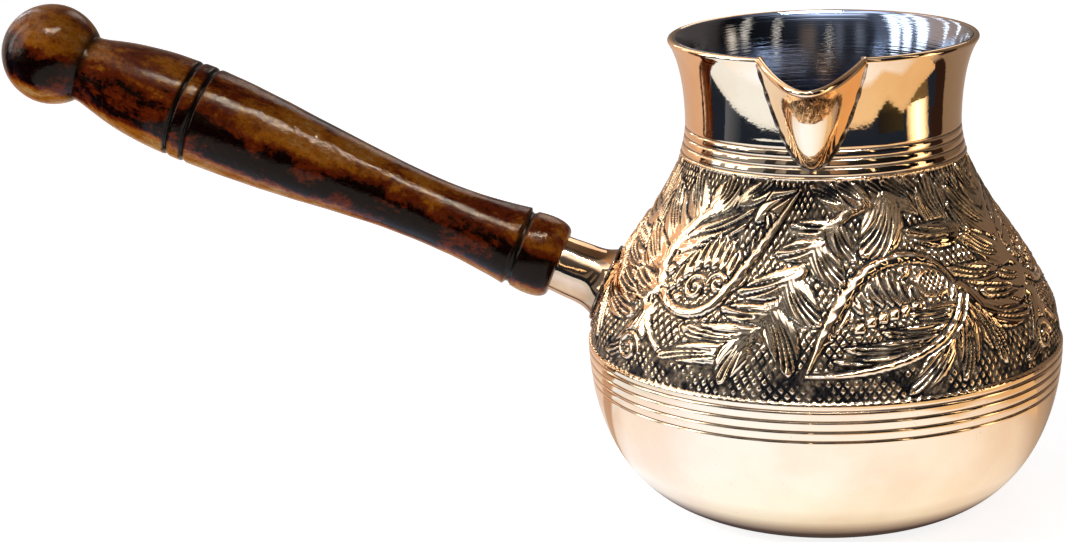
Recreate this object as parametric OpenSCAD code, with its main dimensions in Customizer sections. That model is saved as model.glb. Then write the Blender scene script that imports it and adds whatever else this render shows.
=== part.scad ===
// Turkish coffee pot (cezve): a spun copper pot with a tinned inside, a beak soldered over a notch
// in its neck, and a turned wooden handle pinned in a copper socket.
// +Z is up and the origin is the centre of the flat base. The beak points along -Y, the handle
// runs out along -X and rises. Millimetres.

/* [Pot] */
// Radius of the flat base
base_r = 30; // [24:0.5:34]
// Largest radius of the belly
belly_r = 50; // [46:0.5:56]
// Height of the widest place
belly_z = 34; // [30:0.5:40]
// Radius of the neck at its narrowest
neck_r = 28.6; // [25:0.2:31]
// Height of the narrowest place
neck_z = 82; // [78:0.5:84]
// Radius of the mouth at the outer edge of the lip
rim_r = 31.9; // [31:0.1:35]
// Height of the outer edge of the lip
rim_z = 98.3; // [97:0.1:104]
// Thickness of the copper
wall_t = 1.4; // [1:0.1:2]
// Thickness of the tin coat inside
tin_t = 0.3; // [0.2:0.05:0.5]

/* [Turned lines] */
// Height of the lowest line on the belly
belly_line_z = 27.3; // [24:0.1:28]
// Distance between two lines on the belly
belly_line_gap = 2.1; // [1.8:0.1:3]
// Number of lines on the belly
belly_lines = 4; // [1:1:5]
// Height of the lowest line on the neck
neck_line_z = 75.6; // [75:0.1:76]
// Distance between two lines on the neck
neck_line_gap = 1.7; // [1.5:0.1:2]
// Number of lines on the neck
neck_lines = 4; // [1:1:5]
// Depth of a line
line_depth = 0.35; // [0.2:0.05:0.6]

/* [Beak] */
// Half of the beak's width at the rim
beak_w = 10.9; // [9:0.1:12]
// Height of the beak's lower tip
beak_tip_z = 77; // [76:0.5:79]
// Distance of the lip's middle from the pot's axis
beak_reach = 44.5; // [42:0.5:48]
// Height of the lip's middle
beak_lip_z = 94.4; // [93:0.1:96]
// Thickness of the beak's sheet
beak_t = 1.1; // [0.8:0.1:1.4]
// Radius of the solder bead along its edge
bead_r = 0.8; // [0.5:0.1:1]

/* [Socket] */
// Height at which the handle's axis would cross the pot's axis
handle_z = 26.2; // [24:0.1:28]
// Rise of the handle in degrees
handle_rise = 22.3; // [18:0.1:26]
// Outer radius of the socket at its mouth
socket_r = 6.2; // [5.8:0.1:6.6]
// Outer radius of the socket's foot on the belly
socket_foot_r = 8; // [7.5:0.1:9]
// Distance of the socket's mouth from the pot's axis
socket_end = 61.4; // [60:0.1:64]
// Thickness of the socket's wall
socket_t = 1.1; // [0.8:0.1:1.4]

/* [Grip] */
// Distance of the ball's centre from the pot's axis
ball_at = 181.9; // [176:0.1:190]
// Radius of the ball
ball_r = 11.1; // [10.5:0.1:12.5]
// Radius of the grip at its thickest
grip_r = 11; // [10.5:0.1:12]
// Distance of the thickest place from the pot's axis
grip_at = 147.9; // [145:0.1:150]
// Radius of the shoulder next to the socket
shoulder_r = 8.9; // [8.5:0.1:9.5]
// Depth of the two burnt lines
burn_depth = 0.6; // [0.3:0.1:0.9]

/* [Nail] */
// Radius of the nail's shank
nail_r = 0.9; // [0.7:0.1:1.1]
// Radius of the nail's head
nail_head_r = 1.7; // [1.4:0.1:2]
// Distance of the nail from the pot's axis
nail_at = 57; // [56.5:0.1:58]

/* [Hidden] */
copper = [0.86, 0.55, 0.40];
tin = [0.75, 0.76, 0.78];
solder = [0.70, 0.58, 0.46];
wood = [0.36, 0.16, 0.06];
iron = [0.32, 0.31, 0.30];
curve_steps = 14; // points along one curved stretch of an outline
lip_steps = 8; // points round the lip
round_fn = 360; // sides of anything round

// Cubic curve through four control points, and the unit normal on its left-hand side
function bezier(p, t) = pow(1 - t, 3) * p[0] + 3 * t * pow(1 - t, 2) * p[1]
    + 3 * t * t * (1 - t) * p[2] + t * t * t * p[3];
function bezier_slope(p, t) = 3 * pow(1 - t, 2) * (p[1] - p[0])
    + 6 * t * (1 - t) * (p[2] - p[1]) + 3 * t * t * (p[3] - p[2]);
function unit(v) = v / norm(v);
function left_of(v) = unit([-v[1], v[0]]);
function steps(from, count) = [for (i = [from:count]) i / count];

// Outline of the pot as [radius, height]: bowl, shoulder and neck
bowl = [[base_r, 0], [belly_r - 2, 5.5], [belly_r, belly_z - 6.3], [belly_r, belly_z]];
shoulder = [[belly_r, belly_z], [belly_r, belly_z + 18], [neck_r, neck_z - 17], [neck_r, neck_z]];
neck = [[neck_r, neck_z], [neck_r, neck_z + 2], [neck_r + 0.2, rim_z - 4.6], [rim_r, rim_z]];
rim_normal = left_of(bezier_slope(neck, 1));

// Points of the outline, moved inwards by d
function wall_line(d) = concat(
    [for (t = steps(0, curve_steps)) bezier(bowl, t) + d * left_of(bezier_slope(bowl, t))],
    [for (t = steps(1, curve_steps)) bezier(shoulder, t) + d * left_of(bezier_slope(shoulder, t))],
    [for (t = steps(1, curve_steps)) bezier(neck, t) + d * left_of(bezier_slope(neck, t))]
);
wall_table = [for (p = wall_line(0)) [p[1], p[0]]];
function wall_at(z) = lookup(z, wall_table);

// Half-round lip from the outer to the inner face
lip_centre = [rim_r, rim_z] + wall_t / 2 * rim_normal;
function lip_line() = [
    for (i = [1:lip_steps - 1])
    let (a = 180 * i / lip_steps, out = -rim_normal, up = [-out[1], out[0]])
    lip_centre + wall_t / 2 * (cos(a) * out + sin(a) * up)
];
function backwards(list) = [for (i = [len(list) - 1:-1:0]) list[i]];

// Solid of revolution that fills the pot out to its outer face
lip_end = lip_line()[lip_steps - 2];
module pot_outside() {
    rotate_extrude($fn = round_fn)
        polygon(concat([[0, 0]], wall_line(0), lip_line(), [[0, lip_end[1]]]));
}

// V-shaped notch with a round bottom, cut in the front of the neck behind the beak
notch_round = 3; // radius of its bottom
notch_middle_z = beak_tip_z + 6 + notch_round;
notch_top_z = rim_z + 4;
notch_top_w = beak_w - 1;
module beak_notch() {
    rotate([90, 0, 0])
        linear_extrude(height = belly_r)
            polygon(concat(
                [[notch_top_w, notch_top_z], [-notch_top_w, notch_top_z]],
                [for (a = [200:20:340]) [notch_round * cos(a), notch_middle_z + notch_round * sin(a)]]
            ));
}

// One V-shaped line cut round the pot
module turned_line(z) {
    r = wall_at(z);
    rotate_extrude($fn = round_fn)
        polygon([
            [r - line_depth, z],
            [r + line_depth, z - 2 * line_depth],
            [r + line_depth, z + 2 * line_depth]
        ]);
}

// Spun copper pot: flat base, round belly, narrow neck and a lip that turns out
module pot_body() {
    color(copper)
        difference() {
            rotate_extrude($fn = round_fn)
                polygon(concat(
                    [[0, 0]],
                    wall_line(0),
                    lip_line(),
                    backwards(wall_line(wall_t)),
                    [[0, wall_t]]
                ));
            for (i = [0:belly_lines - 1])
                turned_line(belly_line_z + i * belly_line_gap);
            for (i = [0:neck_lines - 1])
                turned_line(neck_line_z + i * neck_line_gap);
            beak_notch();
        }
}

// Tin coat on the whole inner face
module tin_lining() {
    color(tin)
        difference() {
            rotate_extrude($fn = round_fn)
                polygon(concat(
                    [[0, wall_t]],
                    wall_line(wall_t),
                    backwards(wall_line(wall_t + tin_t)),
                    [[0, wall_t + tin_t]]
                ));
            beak_notch();
        }
}

// The beak's face at u across (-1 to 1) and v up (0 at the tip, 1 at the lip), moved inwards by d.
// Its edges follow a parabola on the neck, and its middle follows an S-shaped curve.
beak_top_z = rim_z + 0.5;
beak_sink = 0.3; // how far its edges reach into the neck before they are trimmed to it
beak_round = 1.8; // power that rounds it from side to side
beak_inwards = [-0.8, 0.6]; // from its outer to its inner face, as [radius, height]
beak_middle = [
    [wall_at(beak_tip_z), beak_tip_z],
    [neck_r + 8.4, beak_tip_z + 2],
    [neck_r + 4.4, beak_lip_z - 6.9],
    [beak_reach, beak_lip_z]
];
function beak_edge_z(v, d) = beak_tip_z + 1.5 * d + (beak_top_z - beak_tip_z) * v * v;
function beak_point(u, v, d) =
    let (
        half = (beak_w - d) * v,
        edge_z = beak_edge_z(v, d),
        edge_y = sqrt(pow(wall_at(edge_z) - beak_sink, 2) - half * half),
        middle = bezier(beak_middle, v) + d * beak_inwards,
        swell = 1 - pow(abs(u), beak_round)
    )
    [half * u, -edge_y - (middle[0] - edge_y) * swell, edge_z + (middle[1] - edge_z) * swell];

// Closed body behind that face, back to a line inside the neck
beak_across = 16; // faces from side to side
beak_up = 12; // faces from the tip to the lip
beak_ring = beak_across + 2; // points in one ring
beak_from = 0.06; // lowest ring, just above the tip
beak_back = 6; // how far behind the neck's face the body closes
module beak_body(d, up_to) {
    heights = [for (i = [0:beak_up]) beak_from + (up_to - beak_from) * i / beak_up];
    points = [
        for (v = heights)
        for (j = [0:beak_across + 1])
        j <= beak_across
            ? beak_point(2 * j / beak_across - 1, v, d)
            : [0, beak_back - neck_r, beak_edge_z(v, d)]
    ];
    sides = [
        for (i = [0:beak_up - 1])
        for (j = [0:beak_ring - 1])
        let (
            a = i * beak_ring + j,
            b = i * beak_ring + (j + 1) % beak_ring
        )
        each [[a, a + beak_ring, b], [b, a + beak_ring, b + beak_ring]]
    ];
    top = beak_up * beak_ring;
    caps = [
        for (j = [0:beak_across - 1])
        each [
            [j, j + 1, beak_across + 1],
            [top + j + 1, top + j, top + beak_across + 1]
        ]
    ];
    polyhedron(points, concat(sides, caps));
}

// Sheet copper beak, shaped to the neck
beak_past = 1.12; // the hollow runs on past the lip
module beak() {
    color(copper)
        difference() {
            beak_body(0, 1);
            beak_body(beak_t, beak_past);
            pot_outside();
        }
}

// Bead of solder in the corner between the beak and the neck
bead_sides = 8;
bead_rings = 40;
bead_reach = 0.97; // part of the way up to the rim that it covers
bead_step = 0.01; // distance over which its direction is taken
function seam_point(q) =
    let (z = beak_edge_z(abs(q), 0), x = beak_w * q)
    [x, -sqrt(pow(wall_at(z), 2) - x * x), z];
module beak_solder() {
    rings = [
        for (i = [0:bead_rings])
        let (
            q = bead_reach * (2 * i / bead_rings - 1),
            here = seam_point(q),
            along = seam_point(q + bead_step) - seam_point(q - bead_step),
            ahead = along / norm(along),
            side = cross(ahead, [0, -1, 0]),
            across = side / norm(side),
            out = cross(across, ahead)
        )
        [for (k = [0:bead_sides - 1])
            let (a = 360 * k / bead_sides)
            here + bead_r * (cos(a) * across + sin(a) * out)]
    ];
    points = [for (ring = rings) each ring];
    sides = [
        for (i = [0:bead_rings - 1])
        for (k = [0:bead_sides - 1])
        let (
            a = i * bead_sides + k,
            b = i * bead_sides + (k + 1) % bead_sides
        )
        each [[a, b, a + bead_sides], [b, b + bead_sides, a + bead_sides]]
    ];
    last = bead_rings * bead_sides;
    caps = [
        [for (k = [bead_sides - 1:-1:0]) k],
        [for (k = [0:bead_sides - 1]) last + k]
    ];
    color(solder)
        difference() {
            polyhedron(points, concat(sides, caps));
            beak_body(0, 1);
            pot_outside();
        }
}

// Places its children on the handle's axis: their +Z runs out along the handle and their origin
// is where that axis crosses the pot's axis
module on_handle_axis() {
    translate([0, 0, handle_z])
        rotate([0, handle_rise - 90, 0])
            children();
}

// Places its children on the nail's axis: their +Z points out of the socket on the side away from the beak
module on_nail_axis() {
    on_handle_axis()
        translate([0, 0, nail_at])
            rotate([-90, 0, 0])
                children();
}

// Round bar that fills the socket out to its outer face, flared where it stands on the belly
socket_from = 45; // inside the belly, where it is trimmed away
foot_at = 50; // where the flare meets the belly
socket_line = [
    [socket_foot_r, foot_at],
    [socket_r + 0.3, foot_at + 2.4],
    [socket_r + 0.3, foot_at + 4],
    [socket_r, socket_end]
];
module socket_outside() {
    on_handle_axis()
        rotate_extrude($fn = round_fn)
            polygon(concat(
                [[0, socket_from], [socket_foot_r, socket_from]],
                [for (t = steps(0, curve_steps)) bezier(socket_line, t)],
                [[0, socket_end]]
            ));
}

// Shank of the nail, and the hole that it fills
nail_depth = 3.5; // how far it passes the handle's axis
module nail_shank() {
    on_nail_axis()
        translate([0, 0, -nail_depth])
            cylinder(h = nail_depth + socket_r + 0.5, r = nail_r, $fn = round_fn);
}

// Copper tube on the belly that takes the grip's tenon
tenon_r = socket_r - socket_t;
module handle_socket() {
    color(copper)
        difference() {
            socket_outside();
            on_handle_axis()
                translate([0, 0, socket_from - 1])
                    cylinder(h = socket_end - socket_from + 2, r = tenon_r, $fn = round_fn);
            pot_outside();
            nail_shank();
        }
}

// Ring of solder round the socket's foot
module socket_solder() {
    color(solder)
        difference() {
            on_handle_axis()
                rotate_extrude($fn = round_fn)
                    polygon([
                        [socket_r, socket_from],
                        [socket_foot_r + 1, socket_from],
                        [socket_foot_r + 1, foot_at - 0.2],
                        [socket_foot_r - 0.6, foot_at + 1],
                        [socket_r, foot_at + 1]
                    ]);
            socket_outside();
            pot_outside();
        }
}

// Turned wooden grip: tenon, shoulder bead, long swelling taper with two burnt lines, and a ball
tenon_at = socket_end - 8.9; // inner end of the tenon
bead_end = socket_end + 8; // end of the shoulder bead
throat_r = 7.5; // narrowest place, next to the ball
throat_at = ball_at - sqrt(ball_r * ball_r - throat_r * throat_r);
shoulder_bead = [
    [shoulder_r - 1.7, socket_end],
    [shoulder_r + 0.1, socket_end + 0.6],
    [shoulder_r + 0.4, socket_end + 4.6],
    [shoulder_r - 0.3, bead_end]
];
taper = [
    [shoulder_r, bead_end + 1.8],
    [shoulder_r / 2, socket_end + 36],
    [grip_r - 0.3, grip_at - 31],
    [grip_r, grip_at]
];
swell = [
    [grip_r, grip_at],
    [grip_r, grip_at + 18],
    [throat_r - 0.4, throat_at - 2.6],
    [throat_r, throat_at]
];
ball_from = asin(throat_r / ball_r);
ball_steps = 20;
burnt_gap = 3.9; // distance between the two burnt lines
function ball_point(a) = [ball_r * sin(a), ball_at - ball_r * cos(a)];
module burnt_line(at) {
    rotate_extrude($fn = round_fn)
        polygon([
            [grip_r - burn_depth, at],
            [grip_r + burn_depth, at - 2 * burn_depth],
            [grip_r + burn_depth, at + 2 * burn_depth]
        ]);
}
module handle_grip() {
    color(wood)
        difference() {
            on_handle_axis()
                difference() {
                    rotate_extrude($fn = round_fn)
                        polygon(concat(
                            [[0, tenon_at], [tenon_r, tenon_at], [tenon_r, socket_end]],
                            [for (t = steps(0, curve_steps)) bezier(shoulder_bead, t)],
                            [[shoulder_r - 0.8, bead_end + 0.9]],
                            [for (t = steps(0, 2 * curve_steps)) bezier(taper, t)],
                            [for (t = steps(1, curve_steps)) bezier(swell, t)],
                            [for (t = steps(1, ball_steps - 1)) ball_point(ball_from + (180 - ball_from) * t)],
                            [[0, ball_at + ball_r]]
                        ));
                    burnt_line(grip_at - burnt_gap / 2);
                    burnt_line(grip_at + burnt_gap / 2);
                }
            nail_shank();
        }
}

// Small round-headed nail through the socket and the tenon, on the side away from the beak
nail_head_h = 0.9;
module socket_nail() {
    color(iron)
        union() {
            nail_shank();
            difference() {
                on_nail_axis()
                    rotate_extrude($fn = round_fn)
                        polygon(concat(
                            [[0, socket_r - 0.6], [nail_head_r, socket_r - 0.6]],
                            [for (a = [0:15:75]) [nail_head_r * cos(a), socket_r + 0.3 + nail_head_h * sin(a)]],
                            [[0, socket_r + 0.3 + nail_head_h]]
                        ));
                socket_outside();
            }
        }
}

pot_body();
tin_lining();
beak();
beak_solder();
handle_socket();
socket_solder();
handle_grip();
socket_nail();
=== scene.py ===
import math

import bpy
import numpy as np
from mathutils import Matrix, Vector


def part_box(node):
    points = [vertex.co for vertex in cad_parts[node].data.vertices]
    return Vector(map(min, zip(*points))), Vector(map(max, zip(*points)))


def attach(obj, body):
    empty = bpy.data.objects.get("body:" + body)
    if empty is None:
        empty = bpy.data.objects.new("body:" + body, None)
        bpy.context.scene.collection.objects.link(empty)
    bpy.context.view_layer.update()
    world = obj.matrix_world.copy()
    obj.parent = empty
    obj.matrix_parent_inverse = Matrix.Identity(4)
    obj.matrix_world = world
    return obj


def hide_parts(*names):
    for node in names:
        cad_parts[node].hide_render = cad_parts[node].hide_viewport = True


# The visible model of a copper coffee pot (cezve). Shapes are worked out in millimetres in the frame
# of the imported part: +Z up, the beak towards -Y, the handle out along -X. Angles round the pot are in
# degrees from the beak, growing towards +X.
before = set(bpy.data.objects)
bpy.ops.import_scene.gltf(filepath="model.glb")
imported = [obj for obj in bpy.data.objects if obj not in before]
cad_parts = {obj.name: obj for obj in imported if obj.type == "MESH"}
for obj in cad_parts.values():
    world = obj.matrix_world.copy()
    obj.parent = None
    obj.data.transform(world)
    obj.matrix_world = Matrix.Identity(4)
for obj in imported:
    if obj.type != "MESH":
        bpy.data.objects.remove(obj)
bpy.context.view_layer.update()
MM = 0.001


# ---------------------------------------------------------------- sizes, as in the part

pot_low, pot_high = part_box("pot_body")
BELLY_R = (pot_high[0] - pot_low[0]) / 2 / MM
BASE_R = 30.0
BELLY_Z = 34.0
NECK_R = 28.6
NECK_Z = 82.0
RIM_R = 31.9
RIM_Z = 98.3
WALL = 1.4
TIN = 0.3
BELLY_LINES = [27.3 + 2.1 * i for i in range(4)]
NECK_LINES = [75.6 + 1.7 * i for i in range(4)]
BAND_LOW, BAND_TOP = 35.0, 75.1

BEAK_W = 10.9
BEAK_TIP_Z = 77.0
BEAK_TOP_Z = RIM_Z + 0.5
BEAK_REACH = 44.5
BEAK_LIP_Z = 94.4
BEAK_SHEET = 1.1

HANDLE_Z = 26.2
HANDLE_RISE = math.radians(22.3)
SOCKET_R = 6.2
SOCKET_FOOT_R = 8.0
SOCKET_FOOT = 50.0
SOCKET_END = 61.4
SOCKET_BORE = 5.1
SHOULDER_R = 8.9
SHOULDER_END = SOCKET_END + 8
GRIP_R = 11.0
GRIP_AT = 147.9
BALL_AT = 181.9
BALL_R = 11.1
THROAT_R = 7.5
THROAT_AT = BALL_AT - math.sqrt(BALL_R**2 - THROAT_R**2)
BURNT_AT = (GRIP_AT - 1.95, GRIP_AT + 1.95)

BOWL = [(BASE_R, 0), (BELLY_R - 2, 5.5), (BELLY_R, BELLY_Z - 6.3), (BELLY_R, BELLY_Z)]
SHOULDER = [(BELLY_R, BELLY_Z), (BELLY_R, BELLY_Z + 18), (NECK_R, NECK_Z - 17), (NECK_R, NECK_Z)]
NECK = [(NECK_R, NECK_Z), (NECK_R, NECK_Z + 2), (NECK_R + 0.2, RIM_Z - 4.6), (RIM_R, RIM_Z)]


# ---------------------------------------------------------------- small helpers

def bezier(points, t):
    """Points of a quadratic or cubic curve."""
    p = np.array(points, float)
    t = np.atleast_1d(t)[:, None]
    s = 1 - t
    if len(p) == 3:
        return s**2 * p[0] + 2 * t * s * p[1] + t**2 * p[2]
    return s**3 * p[0] + 3 * t * s**2 * p[1] + 3 * t**2 * s * p[2] + t**3 * p[3]


def smooth(x, start, end):
    """0 before start, 1 after end, and smooth between them."""
    t = np.clip((x - start) / (end - start), 0, 1)
    return t * t * (3 - 2 * t)


def unit(v):
    return v / np.linalg.norm(v, axis=-1, keepdims=True)


def wobble(seed, *coords):
    """A smooth, repeatable unevenness of about -1 to 1 from a few sines."""
    rng = np.random.default_rng(seed)
    total = 0
    for _ in range(5):
        phase = rng.uniform(0, 2 * np.pi)
        weights = rng.uniform(0.5, 2.2, len(coords)) * rng.choice([-1, 1], len(coords))
        total = total + np.sin(sum(w * c for w, c in zip(weights, coords)) + phase)
    return total / 3


def within(x, low, high, fade=0.4):
    """1 between low and high, and 0 outside them."""
    return smooth(x, low, low + fade) * (1 - smooth(x, high - fade, high))


def add_object(name, data):
    """An object in the scene."""
    obj = bpy.data.objects.new(name, data)
    bpy.context.scene.collection.objects.link(obj)
    return obj


class Skin:
    """Rings of points and the faces between them, with a value at each point for the materials."""

    def __init__(self):
        self.points, self.quads, self.tris, self.values = [], [], [], []
        self.size = 0

    def ring(self, points, value=0.0):
        points = np.atleast_2d(points)
        start, n = self.size, len(points)
        self.points.append(points)
        self.values.append(np.broadcast_to(np.asarray(value, float), n))
        self.size += n
        return start, n

    def join(self, below, above):
        """Faces between two closed rings of the same size, half or twice the size, or one point."""
        (a, n), (b, m) = below, above
        i = np.arange(max(n, m) if 1 in (n, m) else min(n, m))
        j = (i + 1) % len(i)
        middle, far = 2 * i + 1, (2 * i + 2) % max(n, m)
        if n == 1:
            tris = [(a + 0 * i, b + j, b + i)]
        elif m == 1:
            tris = [(a + i, a + j, b + 0 * i)]
        elif n == m:
            tris = []
            self.quads.append(np.stack([a + i, a + j, b + j, b + i], 1))
        elif m > n:
            tris = [(a + i, b + middle, b + 2 * i), (a + i, a + j, b + middle), (a + j, b + far, b + middle)]
        else:
            tris = [(a + 2 * i, a + middle, b + i), (a + middle, b + j, b + i), (a + middle, a + far, b + j)]
        self.tris += [np.stack(corners, 1) for corners in tris]

    def chain(self, rings):
        for below, above in zip(rings[:-1], rings[1:]):
            self.join(below, above)

    def make(self, name, value_name="depth"):
        """The Blender object."""
        points = np.concatenate(self.points) * MM
        quads = np.concatenate(self.quads)
        tris = np.concatenate(self.tris + [np.zeros((0, 3), int)])
        mesh = bpy.data.meshes.new(name)
        mesh.vertices.add(len(points))
        mesh.vertices.foreach_set("co", points.astype(np.float32).ravel())
        corners = np.concatenate([quads.ravel(), tris.ravel()])
        totals = np.concatenate([np.full(len(quads), 4), np.full(len(tris), 3)])
        mesh.loops.add(len(corners))
        mesh.loops.foreach_set("vertex_index", corners.astype(np.int32))
        mesh.polygons.add(len(totals))
        starts = np.concatenate([[0], np.cumsum(totals)[:-1]])
        mesh.polygons.foreach_set("loop_start", starts.astype(np.int32))
        mesh.polygons.foreach_set("loop_total", totals.astype(np.int32))
        mesh.polygons.foreach_set("use_smooth", np.ones(len(totals), bool))
        mesh.update(calc_edges=True)
        mesh.validate()
        values = mesh.attributes.new(value_name, "FLOAT", "POINT")
        values.data.foreach_set("value", np.concatenate(self.values).astype(np.float32))
        return add_object(name, mesh)


# ---------------------------------------------------------------- the pot's outline

class Outline:
    """The pot's outer line, walked by its length from the edge of the base to the lip."""

    def __init__(self):
        t = np.linspace(0, 1, 400)
        points = np.vstack([bezier(BOWL, t), bezier(SHOULDER, t)[1:], bezier(NECK, t)[1:]])
        along = unit(np.gradient(points, axis=0))
        self.points = points
        self.normals = np.stack([along[:, 1], -along[:, 0]], 1)
        self.walk = np.concatenate([[0], np.cumsum(np.linalg.norm(np.diff(points, axis=0), axis=1))])

    def at_height(self, z):
        return np.interp(z, self.points[:, 1], self.walk)

    def radius(self, z):
        return np.interp(z, self.points[:, 1], self.points[:, 0])

    def place(self, s, degrees, lift=0.0):
        """Points on the wall at lengths s and angles, lifted off it along its normal."""
        s = np.broadcast_to(s, np.shape(degrees))
        r, z = (np.interp(s, self.walk, self.points[:, i]) for i in (0, 1))
        nr, nz = (np.interp(s, self.walk, self.normals[:, i]) for i in (0, 1))
        angle = np.radians(degrees - 90)
        out = r + lift * nr
        return np.stack([out * np.cos(angle), out * np.sin(angle), z + lift * nz], -1)


outline = Outline()


def angles(count):
    """Angles of a ring, in degrees, from where one copy of the band's pattern starts."""
    return PATTERN_START + 360 * np.arange(count) / count


NOTCH_Z = BEAK_TIP_Z + 6  # lowest place of the notch's edge
NOTCH_ROUND = 5.6
NOTCH_SLOPE = 2.0


def notch_top(degrees):
    """Height of the wall's top edge: the lip, or the edge of the notch behind the beak."""
    x = np.sin(np.radians(degrees))
    front = np.cos(np.radians(degrees)) > 0
    z = np.full(len(degrees), RIM_Z)
    for _ in range(4):
        edge = NOTCH_Z + np.hypot(NOTCH_ROUND, NOTCH_SLOPE * x * outline.radius(z)) - NOTCH_ROUND
        z = np.where(front, np.minimum(RIM_Z, edge), RIM_Z)
    return z


# ---------------------------------------------------------------- the band's relief

PATTERN = 120.0
PATTERN_START = -60.0
COPIES = round(360 / PATTERN)
TALL = 1.15  # length on the sloping wall for one of height
GROUND = -0.5
DEEPEST = -0.9
CURVE_STEPS = 14
MARGIN = 0.9  # how far beyond its half width a shape changes the chart


def mm_per_degree(z):
    return outline.radius(z) * math.pi / 180


class Chart:
    """Relief heights of one copy of the pattern, over angle and height."""

    def __init__(self, across, up):
        self.t = PATTERN_START + PATTERN * np.arange(across) / across
        self.z = np.linspace(BAND_LOW, BAND_TOP, up)
        self.T, self.Z = np.meshgrid(self.t, self.z)
        self.h = np.zeros(self.T.shape)

    def copies(self, line, margin):
        """The part of the chart round a line, for each copy of the line that meets it."""
        k = mm_per_degree(line[:, 1].mean())
        for shift in (-PATTERN, 0, PATTERN):
            moved = line + [shift, 0]
            left, low = moved.min(axis=0) - [margin / k, margin / TALL]
            right, high = moved.max(axis=0) + [margin / k, margin / TALL]
            i, j = np.searchsorted(self.t, [left, right])
            m, n = np.searchsorted(self.z, [low, high])
            if j - i > 1 and n - m > 1:
                yield (slice(m, n), slice(i, j)), moved

    def near(self, part, line):
        """Length along a line and distance to its left, in mm, of the chart's points."""
        scale = np.array([mm_per_degree(line[:, 1].mean()), TALL])
        x, y = self.T[part] * scale[0], self.Z[part] * scale[1]
        best = np.full(x.shape, np.inf)
        along, side = np.zeros(x.shape), np.zeros(x.shape)
        walked = 0.0
        for a, b in zip(line[:-1] * scale, line[1:] * scale):
            step = b - a
            length = math.hypot(*step)
            dx, dy = x - a[0], y - a[1]
            s = np.clip((dx * step[0] + dy * step[1]) / length**2, 0, 1)
            away = np.hypot(dx - s * step[0], dy - s * step[1])
            closer = away < best
            best = np.where(closer, away, best)
            along = np.where(closer, walked + s * length, along)
            side = np.where(closer, np.sign(step[0] * dy - step[1] * dx) * away, side)
            walked += length
        return along, side, walked

    def raise_shape(self, part, edge, top, apart=1.0):
        """Puts a shape of height top where edge, the distance outside it, is below 0, in a sunk line.

        Where apart is 0 the shape grows out of what is there, with no line between them.
        """
        here = self.h[part]
        inside = 1 - smooth(edge, -0.3, 0.1)
        rim = smooth(edge, -0.05, 0.15) * (1 - smooth(edge, 0.3, 0.6)) * apart
        sunk = np.where(here > GROUND + 0.15, -0.55, -0.88)
        around = here * (1 - rim) + np.minimum(here, sunk) * rim
        top = top * apart + np.maximum(top, here) * (1 - apart)
        self.h[part] = around * (1 - inside) + top * inside

    def patina_and_shade(self):
        """How dark each point is: grime and oxide stay where the surface lies under its surroundings, and
        painted shade darkens the band's bottom and top.
        """
        around = self.h
        for reach in (1, 2):
            rows = np.arange(len(around))
            level = [around[np.clip(rows + d, 0, rows[-1])] for d in (-reach, 0, reach)]
            around = sum(level) / 3
            around = (np.roll(around, -reach, 1) + around + np.roll(around, reach, 1)) / 3
        hollow = smooth(around - self.h, 0.0, 0.18)
        patchy = 0.5 + 0.5 * wobble(4, np.radians(self.T) * 9, self.Z / 5)
        sunk = -self.h
        # painted shade: the sunk ground darker near the bottom and top of the band, standing in for the dark
        # room the metal mirrors there
        ends = 0.55 * (1 - smooth(self.Z, 40, 50)) + 0.4 * smooth(self.Z, 60, 68)
        low = smooth(sunk, 0.38, 0.50) * (0.08 + 0.16 * patchy + ends) + 0.7 * smooth(sunk, 0.58, 0.85)
        # painted shade: the whole band darker near its bottom and top, half as much on the sunk ground
        painted_band_shade = (0.46 * smooth(self.Z, 59, 66) + 0.36 * (1 - smooth(self.Z, 37, 46))) * (0.7 + 0.3 * patchy)
        return np.clip(hollow + low + painted_band_shade * (1 - 0.5 * smooth(sunk, 0.34, 0.42)), 0, 1)


def curve_of(parts):
    """Points along a chain of curves, with no point twice."""
    line = np.vstack([bezier(p, np.linspace(0, 1, CURVE_STEPS)) for p in parts])
    keep = np.concatenate([[True], np.hypot(*np.diff(line, axis=0).T) > 1e-6])
    return line[keep]


def cut_ground(chart):
    """Crossed chisel lines that leave small rounded lozenges."""
    x, y = chart.T * mm_per_degree(58.0), chart.Z * TALL
    lean, pitch = math.radians(61), 1.4
    x = x + 0.4 * wobble(7, x / 7, y / 6)
    y = y + 0.4 * wobble(8, x / 6, y / 7)
    cut = np.zeros(x.shape)
    for way in (1, -1):
        line = (x * math.sin(lean) + way * y * math.cos(lean)) / pitch
        away = np.abs(line - np.round(line)) * pitch
        cut = np.maximum(cut, 1 - smooth(away, 0.0, 0.36))
    chart.h[:] = GROUND + 0.08 - 0.42 * cut + 0.06 * wobble(3, x / 2, y / 2)


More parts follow.
